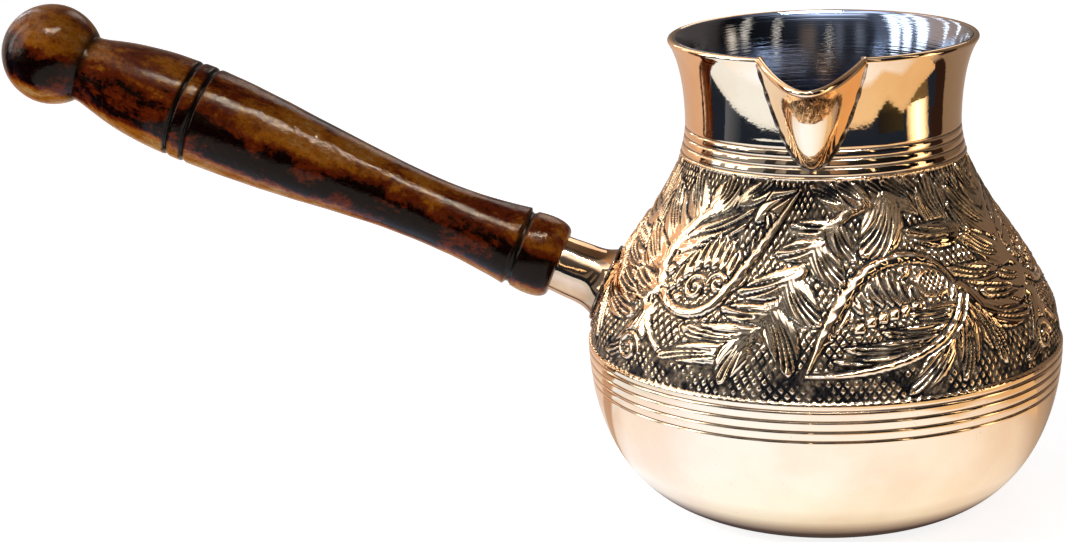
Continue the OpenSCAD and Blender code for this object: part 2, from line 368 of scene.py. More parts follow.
def leaf(chart, base, tip, width, bend, slots, joined=True):
    """A leaf of a half width, that slots part into fingers; joined grows out of its stem."""
    base, tip = np.array(base, float), np.array(tip, float)
    scale = np.array([mm_per_degree((base[1] + tip[1]) / 2), TALL])
    d = (tip - base) * scale
    middle = (base + tip) / 2 + np.array([-d[1], d[0]]) * bend / scale
    spine = bezier([base, middle, tip], np.linspace(0, 1, CURVE_STEPS))
    for part, line in chart.copies(spine, width + MARGIN):
        along, side, length = chart.near(part, line)
        u = along / length
        first = 0.2 if joined else 0.05
        half = width * np.sin(np.pi * (first + (1 - first) * np.clip(u, 0, 1) ** 0.9)) ** 0.7 + 0.1
        top = -0.02 - 0.36 * (side / half) ** 2
        if slots > 1:
            top = top - 0.04 * (1 + np.cos(2 * np.pi * side / 0.95 + 5 * u))
        for i in range(slots):
            at = 1.45 * ((i + 0.5) / slots - 0.5) + (0.12 if slots == 1 else 0)
            open_here = smooth(u, 0.08 + 0.1 * (i % 2), 0.56) * (1 - smooth(u, 0.84, 0.96))
            away = np.abs(side - at * width * (0.42 + 0.68 * u))
            slot = 1 - smooth(away, 0.16 * open_here, 0.12 + 0.4 * open_here)
            top = top - 0.66 * slot * np.minimum(1, 2.2 * open_here)
        apart = smooth(u, 0.02, 0.3) if joined else 1.0
        chart.raise_shape(part, np.abs(side) - half, top, apart)


def stem(chart, parts, width, start, end):
    """A raised band along a curve, start and end times as wide at its ends."""
    for part, moved in chart.copies(curve_of(parts), width + MARGIN):
        along, side, length = chart.near(part, moved)
        u = along / length
        half = width * (start + (1 - start) * smooth(u, 0, 0.3)) * (end + (1 - end) * (1 - smooth(u, 0.7, 1)))
        top = -0.02 - 0.34 * (side / half) ** 2 - 0.05 * (1 + np.cos(1.8 * along + 1.5 * side))
        chart.raise_shape(part, np.abs(side) - half, top)


def swirl(chart, x, z, radius, way=1, half=0.5):
    """A small spiral cord."""
    turn = np.linspace(0, 1, 26)
    r, a = radius * (1 - 0.78 * turn), 2.7 * np.pi * turn
    line = np.stack([x + way * r * np.cos(a) / mm_per_degree(z), z + r * np.sin(a) / TALL], 1)
    for part, moved in chart.copies(line, half + MARGIN):
        side = chart.near(part, moved)[1]
        chart.raise_shape(part, np.abs(side) - half, -0.02 - 0.15 * (side / half) ** 2)


def hatched_oval(chart, x, z, wide, high):
    """An oval ring filled with small squares."""
    for part, line in chart.copies(np.array([[x - wide, z - high], [x + wide, z + high]]), 0.6):
        T, Z = chart.T[part], chart.Z[part]
        q = np.hypot((T - line[:, 0].mean()) / wide, (Z - z) / high)
        ring, inside = 1 - smooth(np.abs(q - 0.9), 0.07, 0.16), 1 - smooth(q, 0.75, 0.85)
        squares = GROUND + 0.05 + 0.3 * np.cos(2 * np.pi * T / 1.7) * np.cos(2 * np.pi * Z / 1.3)
        h = chart.h[part]
        h = h * (1 - inside) + squares * inside
        chart.h[part] = h * (1 - ring) - 0.05 * ring


# Outlines of the two drops and the line of the running stem, as [degrees, height]
DROP_TOP = [[(0, 40.4), (6, 52), (13, 60.6), (27, 60.6)], [(27, 60.6), (34, 60.6), (41, 59.5), (42.6, 54.5)]]
DROP_LOW = [[(0, 40.4), (14, 40.4), (37, 43), (43.4, 52.8)]]
HIGH_DROP_TOP = [
    [(-4, 73.3), (-20, 71.6), (-38, 70), (-46, 64)],
    [(-46, 64), (-50.5, 60.5), (-50.5, 55), (-44, 52.2)],
]
HIGH_DROP_LOW = [
    [(-44, 52.2), (-40, 49.8), (-30, 47.5), (-24, 54)],
    [(-24, 54), (-18, 60), (-11, 68), (-4, 73.3)],
]
RUNNING_STEM = [
    [(-38, 41.4), (-28, 41), (-18, 43.5), (-12, 49)],
    [(-12, 49), (-7, 54), (-2, 60), (4, 64)],
    [(4, 64), (8, 67), (12, 70), (20, 70.2)],
    [(20, 70.2), (30, 70.5), (40, 69.5), (48, 65)],
    [(48, 65), (56, 60.5), (62, 57), (68, 52)],
    [(68, 52), (72, 48.5), (76, 44), (82, 41.4)],
]
# Leaves: base, tip, half width, bend, slots
LEAVES = [
    ((-13, 47.5), (-33.5, 47.2), 2.9, 0.12, 4),
    ((-18, 43.5), (-39, 40.6), 2.3, -0.1, 3),
    ((-9.5, 51.5), (-23.5, 51.8), 2.1, 0.1, 2),
    ((-15, 46.2), (-20.5, 37.6), 2.8, -0.12, 3),
    ((-9.5, 52), (-4, 40.2), 3.2, 0.14, 4),
    ((-4, 58.4), (-20, 54.8), 2.5, 0.12, 2),
    ((4, 64), (-11, 61.8), 2.3, 0.1, 2),
    ((7, 66.6), (-7, 67.0), 1.9, 0.14, 2),
    ((-5, 57.3), (3.5, 49.6), 3.3, -0.14, 4),
    ((2.5, 63.2), (10, 56.4), 3.2, -0.12, 4),
    ((8, 67), (14, 60.4), 2.2, -0.14, 3),
    ((13.5, 69.9), (-1, 74), 2.6, -0.14, 4),
    ((20, 70.1), (8.5, 74.8), 2.0, -0.12, 3),
    ((29, 70.2), (20, 74.8), 2.3, -0.14, 3),
    ((38, 69.6), (26, 74.8), 2.7, -0.14, 4),
    ((45, 67.5), (35.5, 74.6), 2.3, -0.14, 3),
    ((50, 65), (46.5, 74.9), 4.3, 0.14, 5),
    ((57.5, 61), (54, 68.8), 3.0, 0.1, 3),
    ((27, 69.9), (15.5, 61.4), 4.3, 0.2, 5),
    ((51.5, 63.8), (31.5, 65.2), 2.5, 0.16, 2),
    ((64, 55.4), (42, 57.6), 2.4, 0.14, 3),
    ((69, 51.2), (50.5, 52.6), 3.0, 0.1, 3),
    ((43.5, 53), (51.5, 38.6), 3.6, 0.14, 4),
    ((42, 51), (38, 37.2), 3.0, 0.12, 4),
    ((35.5, 45.6), (23.5, 36.2), 2.7, 0.12, 3),
    ((-48.5, 62), (-64, 71.5), 3.6, 0.14, 4),
    ((-43.5, 66.5), (-52, 74.7), 3.0, 0.12, 4),
    ((-37, 68.8), (-32.5, 74.9), 3.1, -0.18, 4),
    ((-26, 70.6), (-15.5, 74.9), 2.0, -0.12, 3),
    ((-50.5, 57), (-67, 62.8), 3.0, 0.12, 4),
    ((-71, 49.3), (-52, 46.8), 3.0, -0.12, 3),
    ((-47.5, 52.5), (-60, 54.6), 2.2, 0.12, 2),
    ((-47, 48), (-60.5, 37.6), 3.3, 0.3, 4),
]


def fill_low_drop(chart):
    """Petals, buds and leaves inside the drop that stands on its tip."""
    for i in range(8):
        x, rise = 9.5 + 2.85 * i, math.sin(0.45 + 0.33 * i)
        leaf(chart, (x + 1.6, 48.9 + 4.2 * rise), (x - 0.6, 53.6 + 6.2 * rise), 1.35, 0.1, 1, False)
    for i in range(6):
        x, z = 13.5 + 3.1 * i, 49.2 + 2.8 * (i / 5) ** 0.6
        leaf(chart, (x - 1.3, z - 0.7), (x + 1.3, z + 0.7), 1.0, 0.0, 0, False)
    leaf(chart, (37, 47.5), (9, 45.6), 2.1, 0.16, 3)
    leaf(chart, (30, 44), (6.5, 43.4), 1.5, 0.14, 2)
    leaf(chart, (40, 49.3), (18.5, 48.2), 1.9, 0.18, 3)
    leaf(chart, (41.5, 51.2), (26.5, 50.9), 1.5, 0.1, 2)
    leaf(chart, (27, 57.5), (30, 60), 1.4, 0.1, 1, False)
    for i in range(3):
        leaf(chart, (4.6 + 2 * i, 46.6 + 1.5 * i), (6.8 + 2 * i, 49.4 + 2.4 * i), 1.1, 0.1, 1, False)
    hatched_oval(chart, 35.6, 55.7, 5.2, 2.4)


def fill_high_drop(chart):
    """Leaves, petals and spirals inside the drop that hangs from its tip."""
    leaf(chart, (-19, 67.4), (-5, 72.6), 2.4, 0.08, 1, False)
    for i in range(3):
        leaf(chart, (-46 + 0.6 * i, 63 - 2.5 * i), (-21 - 1.5 * i, 69.4 - 2.9 * i), 1.75, -0.15, 2)
    for i in range(8):
        x, rise = -40.5 + 2.85 * i, math.sin(0.4 + 0.42 * i)
        base, tip = (x - 0.8, 52.0 + 4.6 * rise + 0.6 * i), (x + 0.8, 55.9 + 5.8 * rise + 0.8 * i)
        leaf(chart, base, tip, 1.35, -0.12, 1, False)
    for i in range(3):
        leaf(chart, (-16.5 + 1.8 * i, 60.5 + 2.4 * i), (-18.5 + 1.8 * i, 64.5 + 2.2 * i), 1.2, -0.1, 1, False)
    for x, z in [(-45, 56), (-42.5, 53.2), (-38.5, 51.6)]:
        leaf(chart, (x - 1.2, z), (x + 1.8, z + 0.9), 1.0, 0.0, 0, False)
    swirl(chart, -33.5, 54.3, 2.9)
    swirl(chart, -26.5, 55.6, 2.2, -1)


def draw_pattern(across, up):
    """One copy of the whole pattern: ground, drops, stem and leaves."""
    chart = Chart(across, up)
    cut_ground(chart)
    fill_low_drop(chart)
    fill_high_drop(chart)
    stem(chart, RUNNING_STEM, 1.25, 0.6, 0.6)
    stem(chart, HIGH_DROP_TOP, 1.3, 0.25, 1)
    stem(chart, HIGH_DROP_LOW, 1.0, 1, 0.3)
    stem(chart, DROP_TOP, 1.25, 0.2, 0.4)
    stem(chart, DROP_LOW, 1.0, 0.3, 1)
    for base, tip, width, bend, slots in LEAVES:
        leaf(chart, base, tip, width, bend, slots)
    stem(chart, DROP_LOW, 0.7, 0.3, 1)
    swirl(chart, -50, 40.4, 3.9, 1, 0.6)
    return chart


# ---------------------------------------------------------------- pot and lining

BAND_COLUMNS, BAND_ROWS = 1200, 160
COLUMNS = BAND_COLUMNS // 2
ROUND = angles(COLUMNS)
HALF_ROUND = angles(COLUMNS // 2)
LINE_DEPTH = 0.28
LINE_WIDTH = 0.21
ROW_STEP = 0.4
HAND = 0.03  # unevenness of the wall
BOWL_TOP = BELLY_LINES[0] - 1.5
NECK_SPLIT = BEAK_TIP_Z + 5.4  # from here up, rings follow the notch
TIN_SPLIT = BEAK_TIP_Z + 5


def turned_lines(z, lines):
    """Depth of the turned lines at a height."""
    return sum(LINE_DEPTH * math.exp(-(((z - line) / LINE_WIDTH) ** 2)) for line in lines)


def fine_rows(low, high, lines):
    """Lengths along the outline between two heights, close together at the turned lines."""
    start, stop = outline.at_height(low), outline.at_height(high)
    extra = [outline.at_height(line + d) for line in lines for d in (-0.4, -0.24, -0.12, 0, 0.12, 0.24, 0.4)]
    keep = [v for v in np.arange(start, stop, ROW_STEP) if all(abs(v - e) > 0.12 for e in extra)]
    return np.array(sorted(keep + [e for e in extra if start < e < stop]))


def level_rings(skin, radii, z):
    """Flat rings round the axis."""
    turn = np.radians(HALF_ROUND - 90)
    return [skin.ring(np.stack([r * np.cos(turn), r * np.sin(turn), 0 * turn + z], 1)) for r in radii]


def smooth_wall(skin, lengths, lift):
    """Rings of one face of the wall below the band or inside the pot."""
    return [skin.ring(outline.place(s, HALF_ROUND, lift)) for s in lengths]


def turned_wall(skin, low, high, lines):
    """Rings of the outer face between two heights, with turned lines cut in."""
    rings = []
    for s in fine_rows(low, high, lines):
        z = float(np.interp(s, outline.walk, outline.points[:, 1]))
        depth = turned_lines(z, lines)
        hand = HAND * wobble(11, np.radians(ROUND) * 3, z / 9)
        rings.append(skin.ring(outline.place(s, ROUND, hand - depth - HAND), 2.2 * depth))
    return rings


def upper_wall(skin, lift, low_z, rows, back=False):
    """Rings of one face of the neck from a height up to the lip or the notch's edge."""
    low, top = outline.at_height(low_z), outline.at_height(notch_top(ROUND))
    rings = [skin.ring(outline.place(low + (top - low) * u, ROUND, lift)) for u in np.linspace(0, 1, rows)]
    return rings[::-1] if back else rings


def round_lip(skin, outer, inner, rows):
    """Half-round top edge between two faces of the wall."""
    top = outline.at_height(notch_top(ROUND))
    turn = np.radians(ROUND - 90)
    nr, nz = (np.interp(top, outline.walk, outline.normals[:, i]) for i in (0, 1))
    up = np.stack([-nz * np.cos(turn), -nz * np.sin(turn), nr], 1)
    middle, half = (outer + inner) / 2, (outer - inner) / 2
    rings = []
    for phi in np.linspace(0, math.pi, rows + 2)[1:-1]:
        points = outline.place(top, ROUND, middle + half * math.cos(phi)) + up * half * math.sin(phi)
        rings.append(skin.ring(points))
    return rings


def band_rings(skin):
    """Rings of the chased band."""
    chart = draw_pattern(BAND_COLUMNS // COPIES, BAND_ROWS)
    around = angles(BAND_COLUMNS)
    rings = []
    # each row's darkness: oxide in the hollows and painted shade near the band's bottom and top
    for z, h, dirt_and_shade in zip(chart.z, chart.h, chart.patina_and_shade()):
        lift = (np.maximum(np.tile(h, COPIES), DEEPEST) - 0.04) * within(z, BAND_LOW, BAND_TOP)
        depth = np.tile(dirt_and_shade, COPIES) * within(z, BAND_LOW + 0.1, BAND_TOP - 0.1)
        rings.append(skin.ring(outline.place(outline.at_height(z), around, lift), depth))
    return rings


def make_pot_body():
    skin = Skin()
    rings = [skin.ring([0.0, 0.0, 0.0])]
    rings += level_rings(skin, (10, 20, 27), 0.0)
    rings += smooth_wall(skin, np.linspace(0, outline.at_height(BOWL_TOP), 46)[:-1], 0.0)
    rings += turned_wall(skin, BOWL_TOP, BAND_LOW - 0.05, BELLY_LINES)
    rings += band_rings(skin)
    rings += turned_wall(skin, BAND_TOP + 0.1, NECK_SPLIT, NECK_LINES)
    rings += upper_wall(skin, -HAND, NECK_SPLIT + 0.1, 30)
    rings += round_lip(skin, -HAND, -WALL, 9)
    rings += upper_wall(skin, -WALL, NECK_SPLIT, 12, back=True)
    rings += smooth_wall(skin, np.linspace(outline.at_height(NECK_SPLIT - 0.5), 0, 50), -WALL)
    rings.append(skin.ring([0.0, 0.0, WALL]))
    skin.chain(rings)
    return skin.make("pot_body_copper")


def make_tin_lining():
    skin = Skin()
    outer, inner = -WALL - 0.02, -WALL - TIN
    top = outline.at_height(TIN_SPLIT - 0.5)
    rings = [skin.ring([0.0, 0.0, -outer])]
    rings += smooth_wall(skin, np.linspace(0, top, 60), outer)
    rings += upper_wall(skin, outer, TIN_SPLIT, 12)
    rings += round_lip(skin, outer, inner, 3)
    rings += upper_wall(skin, inner, TIN_SPLIT, 40, back=True)
    for s in np.linspace(top, 0, 120):
        hand = 0.02 * wobble(5, np.radians(HALF_ROUND) * 2, s / 5)
        rings.append(skin.ring(outline.place(s, HALF_ROUND, inner + hand)))
    rings += level_rings(skin, (26, 18, 9), -inner)
    rings.append(skin.ring([0.0, 0.0, -inner]))
    skin.chain(rings)
    return skin.make("tin_lining_wiped")


# ---------------------------------------------------------------- beak

BEAK_MIDDLE = [
    (float(outline.radius(BEAK_TIP_Z)), BEAK_TIP_Z),
    (NECK_R + 8.4, BEAK_TIP_Z + 2),
    (NECK_R + 4.4, BEAK_LIP_Z - 6.9),
    (BEAK_REACH, BEAK_LIP_Z),
]


def beak_face(u, v):
    """Points of the beak's outer face, u from side to side and v from its tip to its lip."""
    half = BEAK_W * v
    edge_z = BEAK_TIP_Z + (BEAK_TOP_Z - BEAK_TIP_Z) * v * v
    edge_y = np.sqrt(outline.radius(edge_z) ** 2 - half**2)
    middle = bezier(BEAK_MIDDLE, v.ravel()).reshape(v.shape + (2,))
    swell = 1 - np.abs(u) ** (1.8 + 1.2 * (1 - v))
    y = edge_y + (middle[..., 0] - edge_y) * swell
    z = edge_z + (middle[..., 1] - edge_z) * swell
    return np.stack([half * u, -y, z], -1)


def make_beak():
    across, up, lip = 72, 56, 6
    u, v = np.meshgrid(np.linspace(-1, 1, across + 1), np.linspace(0.05, 1, up + 1))
    small = 1e-3
    face = beak_face(u, v)
    to_side = beak_face(np.minimum(u + small, 1), v) - beak_face(np.maximum(u - small, -1), v)
    to_lip = unit(beak_face(u, np.minimum(v + small, 1)) - beak_face(u, v - small))
    normal = unit(np.cross(to_side, to_lip))
    sheet = (BEAK_SHEET + 0.25 * smooth(v, 0.85, 1))[..., None]
    rows = [face[j] for j in range(up + 1)]
    centre = face[-1] - normal[-1] * sheet[-1] / 2
    for phi in np.linspace(0, math.pi, lip + 2)[1:-1]:
        rows.append(centre + sheet[-1] / 2 * (normal[-1] * math.cos(phi) + to_lip[-1] * math.sin(phi)))
    rows += [face[j] - normal[j] * sheet[j] for j in range(up, -1, -1)]
    skin = Skin()
    rings = []
    for row in rows:
        inwards = unit(row[[0, -1]] * [1, 1, 0]) * 0.9
        left, right = row[:1] - inwards[0], row[-1:] - inwards[1]
        rings.append(skin.ring(np.concatenate([left, row, right])))
    n = len(rows[0]) + 2
    for (a, _), (b, _) in zip(rings, rings[1:] + rings[:1]):
        i = np.arange(n - 1)
        skin.quads.append(np.stack([a + i, a + i + 1, b + i + 1, b + i], 1))
    for end, order in ((0, 1), (n - 1, -1)):
        starts = [start + end for start, _ in rings]
        for k in range(len(starts) // 2 - 1):
            corners = [starts[k], starts[k + 1], starts[-k - 2], starts[-k - 1]]
            skin.quads.append(np.array([corners[::order]]))
    return skin.make("beak_sheet")


def tube(skin, path, radius, sides, away):
    """A round tube with closed ends; away is a direction that its path never follows."""
    along = unit(np.gradient(path, axis=0))
    across = unit(np.cross(along, away))
    out = np.cross(across, along)
    angle = 2 * np.pi * np.arange(sides) / sides
    rings = [skin.ring(path[0])]
    for p, a, o, r in zip(path, across, out, radius):
        rings.append(skin.ring(p + r * (np.outer(np.cos(angle), a) + np.outer(np.sin(angle), o))))
    rings.append(skin.ring(path[-1]))
    skin.chain(rings)


def make_beak_solder():
    q = np.linspace(-0.985, 0.985, 260)
    z = BEAK_TIP_Z + (BEAK_TOP_Z - BEAK_TIP_Z) * q * q
    x = BEAK_W * q
    path = np.stack([x, -np.sqrt(outline.radius(z) ** 2 - x * x), z], 1)
    path += 0.05 * np.stack([wobble(21, q * 40), 0 * q, wobble(22, q * 36)], 1)
    radius = 0.42 * (1 + 0.18 * wobble(23, q * 50)) * (1 - 0.4 * np.abs(q) ** 6)
    skin = Skin()
    tube(skin, path, radius, 12, np.array([0.0, -1.0, 0.0]))
    return skin.make("beak_solder_bead")


# ---------------------------------------------------------------- socket and grip

AXIS = np.array([-math.cos(HANDLE_RISE), 0, math.sin(HANDLE_RISE)])
AXIS_UP = np.array([math.sin(HANDLE_RISE), 0, math.cos(HANDLE_RISE)])
AXIS_SIDE = np.array([0.0, 1.0, 0.0])
AXIS_FOOT = np.array([0.0, 0.0, HANDLE_Z])


def on_axis(s, r, phi):
    """Points at length s along the handle's axis, radius r and angle phi from its upper side."""
    s, r, phi = (v[..., None] for v in np.broadcast_arrays(s, r, phi))
    return AXIS_FOOT + s * AXIS + r * np.cos(phi) * AXIS_UP + r * np.sin(phi) * AXIS_SIDE


def belly_under(r, phi):
    """Length along the handle's axis at which a line beside it meets the belly."""
    low, high = np.full(np.shape(phi), 40.0), np.full(np.shape(phi), 60.0)
    for _ in range(30):
        middle = (low + high) / 2
        p = on_axis(middle, r, phi)
        outside = np.hypot(p[..., 0], p[..., 1]) > outline.radius(p[..., 2])
        low, high = np.where(outside, low, middle), np.where(outside, middle, high)
    return (low + high) / 2


def make_handle_socket():
    sides = 128
    phi = 2 * np.pi * np.arange(sides) / sides
    flare = [
        (SOCKET_FOOT_R, SOCKET_FOOT),
        (SOCKET_R + 0.3, SOCKET_FOOT + 2.4),
        (SOCKET_R + 0.3, SOCKET_FOOT + 4),
        (SOCKET_R, SOCKET_END),
    ]
    skin = Skin()
    rings = []
    seam_at = math.radians(222)
    seam = np.exp(-((np.angle(np.exp(1j * (phi - seam_at))) / 0.05) ** 2))
    for r, s in bezier(flare, np.linspace(0, 1, 44)):
        shift = (belly_under(r, phi) - SOCKET_FOOT) * (1 - smooth(s, SOCKET_FOOT, SOCKET_FOOT + 5)) - 0.1
        dents = 0.05 * wobble(31, phi * 2, s / 1.7) + 0.06 * wobble(32, phi, s / 4)
        rings.append(skin.ring(on_axis(s + shift, r + dents - 0.05 - 0.28 * seam, phi), seam))
    half = (SOCKET_R - SOCKET_BORE) / 2
    for turn in np.linspace(0, math.pi, 7)[1:-1]:
        s = SOCKET_END - 0.1 + 0.3 * math.sin(turn)
        rings.append(skin.ring(on_axis(s, SOCKET_R - half + half * math.cos(turn), phi)))
    for s in np.linspace(SOCKET_END, SOCKET_FOOT + 1.2, 8):
        rings.append(skin.ring(on_axis(s, SOCKET_BORE, phi)))
    skin.chain(rings + rings[:1])
    return skin.make("handle_socket_tube")


def make_socket_solder():
    phi = np.linspace(0, 2 * np.pi, 180, endpoint=False)
    r = SOCKET_FOOT_R + 0.1 + 0.12 * wobble(41, np.cos(phi) * 3, np.sin(phi) * 3)
    path = on_axis(belly_under(r, phi) + 0.05, r, phi)
    ahead = unit(np.roll(path, -1, axis=0) - np.roll(path, 1, axis=0))
    out = unit(path - (AXIS_FOOT + np.outer((path - AXIS_FOOT) @ AXIS, AXIS)))
    up = np.cross(out, ahead)
    skin = Skin()
    rings = []
    for turn in 2 * np.pi * np.arange(12) / 12:
        rings.append(skin.ring(path + 0.55 * math.cos(turn) * out + 0.38 * math.sin(turn) * up))
    skin.chain(rings + rings[:1])
    return skin.make("socket_solder_ring")


def grip_line():
    """Profile of the wooden grip as [length, radius]."""
    bead = [
        (SOCKET_END, SHOULDER_R - 1.7),
        (SOCKET_END + 0.6, SHOULDER_R + 0.1),
        (SOCKET_END + 4.6, SHOULDER_R + 0.4),
        (SHOULDER_END, SHOULDER_R - 0.3),
    ]
    groove = [(SHOULDER_END + d, SHOULDER_R - deep) for d, deep in ((0.45, 0.75), (0.9, 0.95), (1.35, 0.75))]
    taper = [
        (SHOULDER_END + 1.8, SHOULDER_R),
        (SOCKET_END + 36, SHOULDER_R / 2),
        (GRIP_AT - 31, GRIP_R - 0.3),
        (GRIP_AT, GRIP_R),
    ]
    throat = [(THROAT_AT - 2.6, THROAT_R - 0.4), (THROAT_AT, THROAT_R)]
    swell = [(GRIP_AT, GRIP_R), (GRIP_AT + 18, GRIP_R)] + throat
    turn = np.linspace(math.asin(THROAT_R / BALL_R), math.pi, 60)[1:-1]
    line = np.vstack([
        bezier(bead, np.linspace(0, 1, 40)),
        groove,
        bezier(taper, np.linspace(0, 1, 220)),
        bezier(swell, np.linspace(0, 1, 70))[1:],
        np.stack([BALL_AT - BALL_R * np.cos(turn), BALL_R * np.sin(turn)], 1),
    ])
    extra = [at + d for at in BURNT_AT for d in np.linspace(-1.5, 1.5, 21)]
    s = np.union1d(line[:, 0], extra)
    return np.stack([s, np.interp(s, line[:, 0], line[:, 1])], 1)


def make_handle_grip():
    sides = 160
    phi = 2 * np.pi * np.arange(sides) / sides
    tenon_end, tenon_r = SOCKET_END - 8, SOCKET_BORE - 0.1
    skin = Skin()
    rings = [skin.ring(on_axis(tenon_end, 0.0, 0.0))]
    rings += [skin.ring(on_axis(s, tenon_r, phi)) for s in (tenon_end, SOCKET_END)]
    for s, r in grip_line():
        cut = sum(math.exp(-(((s - at) / 0.45) ** 2)) for at in BURNT_AT)
        dark = sum(math.exp(-(((s - at) / 0.7) ** 4)) for at in BURNT_AT)
        dark += math.exp(-(((s - SHOULDER_END - 0.9) / 0.8) ** 2))
        dark += 0.8 * math.exp(-(((s - THROAT_AT) / 1.1) ** 2))
        uneven = 0.07 * wobble(51, phi, s / 12) + 0.03 * wobble(52, phi * 3, s / 3)
        fade = min(1.0, r / 6)
        rings.append(skin.ring(on_axis(s, r - 0.62 * cut - 0.1 * fade + uneven * fade, phi), min(1.0, dark)))
    rings.append(skin.ring(on_axis(BALL_AT + BALL_R - 0.05, 0.0, 0.0)))
    skin.chain(rings)
    return skin.make("handle_grip_wood", "burnt")


# ---------------------------------------------------------------- materials

class Nodes:
    """Short calls for building one material's nodes."""

    def __init__(self, name):
        self.material = bpy.data.materials.new(name)
        self.material.use_nodes = True
        self.tree = self.material.node_tree
        self.shader = self.tree.nodes["Principled BSDF"]

    def put(self, socket, value):
        """Links a socket to another node's output, or gives it a value."""
        if isinstance(value, bpy.types.NodeSocket):
            self.tree.links.new(value, socket)
        else:
            socket.default_value = value

    def node(self, kind, inputs=(), **settings):
        node = self.tree.nodes.new(kind)
        for key, value in settings.items():
            setattr(node, key, value)
        for key, value in dict(inputs).items():
            self.put(node.inputs[key], value)
        return node

    def math(self, operation, *values):
        return self.node("ShaderNodeMath", enumerate(values), operation=operation).outputs[0]

    def ramp(self, value, low, high, out_low=0.0, out_high=1.0):
        inputs = {"Value": value, "From Min": low, "From Max": high, "To Min": out_low, "To Max": out_high}
        return self.node("ShaderNodeMapRange", inputs, interpolation_type="SMOOTHSTEP").outputs["Result"]

    def mix(self, share, first, second):
        return self.node("ShaderNodeMix", {0: share, 6: first, 7: second}, data_type="RGBA").outputs[2]

    def value(self, name):
        return self.node("ShaderNodeAttribute", attribute_name=name).outputs["Fac"]

    def place(self, turn=(0, 0, 0), scale=None, move=(0, 0, 0)):
        """Object coordinates, turned and moved, and then scaled along the turned axes."""
        coords = self.node("ShaderNodeTexCoord").outputs["Object"]
        inputs = {"Vector": coords, "Rotation": turn, "Location": move}
        turned = self.node("ShaderNodeMapping", inputs).outputs[0]
        if scale is None:
            return turned
        return self.node("ShaderNodeMapping", {"Vector": turned, "Scale": scale}).outputs[0]

    def noise(self, vector, scale, detail, roughness=0.55, distortion=0.0):
        inputs = {"Vector": vector, "Scale": scale, "Detail": detail, "Roughness": roughness}
        inputs["Distortion"] = distortion
        return self.node("ShaderNodeTexNoise", inputs).outputs["Fac"]

    def bump(self, height, strength, distance):
        inputs = {"Height": height, "Strength": strength, "Distance": distance}
        self.put(self.shader.inputs["Normal"], self.node("ShaderNodeBump", inputs).outputs[0])

    def set(self, **inputs):
        """Gives the shader its inputs, where _ stands for a space."""
        for key, value in inputs.items():
            self.put(self.shader.inputs[key.replace("_", " ")], value)
        return self.material


COPPER = (0.95, 0.65, 0.38, 1)
COPPER_WARM = (0.88, 0.55, 0.30, 1)
OLD_COPPER = (0.80, 0.50, 0.27, 1)
OLD_COPPER_DARK = (0.40, 0.20, 0.09, 1)
COPPER_SPECK = (0.35, 0.2, 0.1, 1)
# dark colour of the grime in hollows and seams, and of the painted shade on the band
PATINA_AND_SHADE = (0.012, 0.009, 0.008, 1)


def copper_material(name, patina_and_shade=True, light=COPPER, dark=COPPER_WARM):
    """Polished copper with small dark specks, and grime and painted shade where a point's depth value says
    so.
    """
    n = Nodes(name)
    where = n.place()
    cloud = n.noise(where, 45, 4)
    specks = n.ramp(n.noise(where, 1400, 2), 0.70, 0.78)
    colour = n.mix(n.ramp(cloud, 0.35, 0.75), light, dark)
    colour = n.mix(n.math("MULTIPLY", specks, 0.35), colour, COPPER_SPECK)
    rough = n.ramp(cloud, 0.3, 0.8, 0.035, 0.08)
    if patina_and_shade:
        patches = n.ramp(n.noise(where, 320, 3), 0.2, 0.6, 0.7, 1.0)
        # darkening from the depth value: real grime in grooves, hollows and seams, and the band's painted
        # shade
        dirt_and_shade = n.math("MULTIPLY", n.ramp(n.value("depth"), 0.22, 0.66), patches)
        colour = n.mix(dirt_and_shade, colour, PATINA_AND_SHADE)
        rough = n.math("ADD", rough, n.math("MULTIPLY", dirt_and_shade, 0.4))
        n.set(Metallic=n.math("SUBTRACT", 1.0, n.math("MULTIPLY", dirt_and_shade, 0.35)))
    else:
        n.set(Metallic=1.0)
    n.bump(n.noise(where, 900, 2), 0.05, 0.0002)
    return n.set(Base_Color=colour, Roughness=rough, Specular_IOR_Level=0.15)


def tin_material():
    """Wiped tin with fine level rings from the lathe."""
    n = Nodes("tin")
    where = n.place()
    rings = n.noise(n.place(scale=(0.0001, 0.0001, 1)), 1500, 3, 0.7)
    cloud = n.noise(where, 60, 3)
    colour = n.mix(cloud, (0.36, 0.38, 0.43, 1), (0.24, 0.25, 0.29, 1))
    n.bump(rings, 0.4, 0.0002)
    return n.set(Base_Color=colour, Metallic=1.0, Roughness=n.ramp(cloud, 0.3, 0.8, 0.05, 0.13))


def solder_material():
    """Dull, spotted solder."""
    n = Nodes("solder")
    where = n.place()
    cloud = n.noise(where, 500, 4)
    colour = n.mix(n.ramp(cloud, 0.3, 0.6), (0.55, 0.38, 0.24, 1), (0.05, 0.035, 0.025, 1))
    n.bump(n.noise(where, 1500, 3), 0.3, 0.0003)
    return n.set(Base_Color=colour, Metallic=1.0, Roughness=n.ramp(cloud, 0.3, 0.7, 0.15, 0.45))


WOOD_BLACK = (0.0025, 0.0004, 0.0003, 1)
WOOD_RED = (0.105, 0.012, 0.0015, 1)
WOOD_AMBER = (0.31, 0.090, 0.005, 1)
WOOD_PALE = (0.42, 0.215, 0.065, 1)


